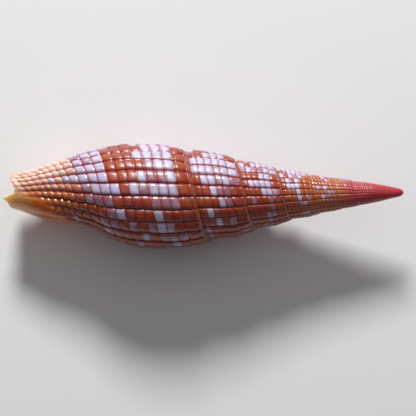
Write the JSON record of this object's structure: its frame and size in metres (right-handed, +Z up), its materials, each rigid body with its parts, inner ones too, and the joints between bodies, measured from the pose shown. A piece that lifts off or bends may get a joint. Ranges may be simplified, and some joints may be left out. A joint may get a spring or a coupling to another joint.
{
  "type": "mitre shell",
  "caption": "Slender right-handed sea-snail shell with strong ribs, stepped sutures, a narrow folded aperture and a notched siphonal neck, lying aperture down.",
  "frame": {"origin": "middle of the footprint, on the surface that the shell lies on", "axes": "+X along the shell toward the apex, +Z up out of the back, aperture down"},
  "size_m": [0.05, 0.0132, 0.0127],
  "materials": {
    "shell_wall": "naturally polished shell, orange-brown with white cells and dark red furrows, crimson apex"
  },
  "bodies": {
    "root": {"shell": "shell_wall"}
  },
  "joints": []
}
